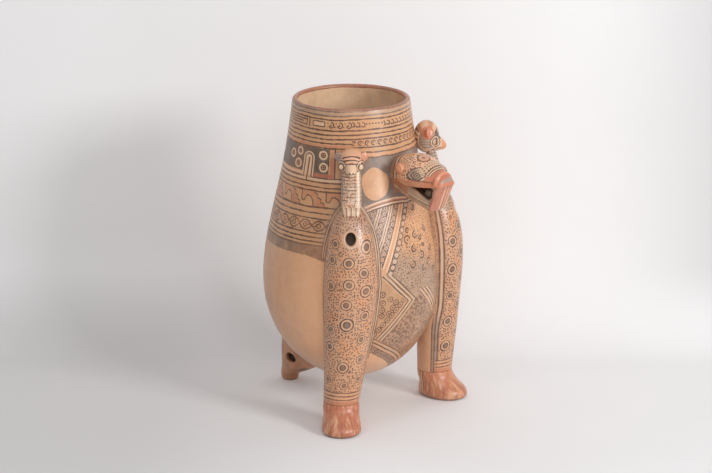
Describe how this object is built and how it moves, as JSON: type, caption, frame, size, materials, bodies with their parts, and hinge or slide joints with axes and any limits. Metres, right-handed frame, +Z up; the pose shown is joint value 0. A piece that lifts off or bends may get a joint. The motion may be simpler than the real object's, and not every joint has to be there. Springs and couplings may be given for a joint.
{
  "type": "zoomorphic vessel",
  "caption": "Hand-built painted clay jar in the form of a standing big cat, with hollow rattle legs, free-standing arm straps and a projecting hollow head.",
  "frame": {"origin": "on the ground under the middle of the whole object's outline; the jar's axis stands 3.6 mm towards +X and 14.9 mm towards +Y of it", "axes": "+Z up along the jar's axis; the cat faces -Y; its right side is at -X and its left side at +X"},
  "size_m": [0.1878, 0.2222, 0.31],
  "materials": {
    "painted_body": null,
    "spotted_slip": null,
    "cat_face": null,
    "striped_slip": null,
    "plain_slip": null,
    "red_slip": null,
    "bare_clay": null
  },
  "bodies": {
    "vessel": {"vessel_body": "painted_body", "front_leg_right": "spotted_slip", "front_leg_left": "spotted_slip", "front_foot_right": "red_slip", "front_foot_left": "red_slip", "rear_leg": "plain_slip", "arm_right": "striped_slip", "arm_left": "striped_slip", "figure_head_right": "striped_slip", "figure_head_left": "striped_slip", "cat_head": "cat_face", "lower_jaw": "red_slip", "ear_right": "red_slip", "ear_left": "red_slip"},
    "head_rattle": {"head_pellet": "bare_clay"},
    "right_leg_rattle": {"leg_pellet_right": "bare_clay"},
    "left_leg_rattle": {"leg_pellet_left": "bare_clay"},
    "rear_leg_rattle": {"rear_leg_pellet": "bare_clay"}
  },
  "joints": [
    {"name": "head_pellet_slide", "type": "slide", "parent": "vessel", "child": "head_rattle", "axis": [0, 0.9753, 0.2207], "range_m": [0, 0.018]},
    {"name": "right_leg_pellet_slide", "type": "slide", "parent": "vessel", "child": "right_leg_rattle", "axis": [0.0066, -0.1196, 0.9928], "range_m": [0, 0.09]},
    {"name": "left_leg_pellet_slide", "type": "slide", "parent": "vessel", "child": "left_leg_rattle", "axis": [-0.0066, -0.1196, 0.9928], "range_m": [0, 0.09]},
    {"name": "rear_leg_pellet_slide", "type": "slide", "parent": "vessel", "child": "rear_leg_rattle", "axis": [0, -0.237, 0.9715], "range_m": [0, 0.034]}
  ]
}
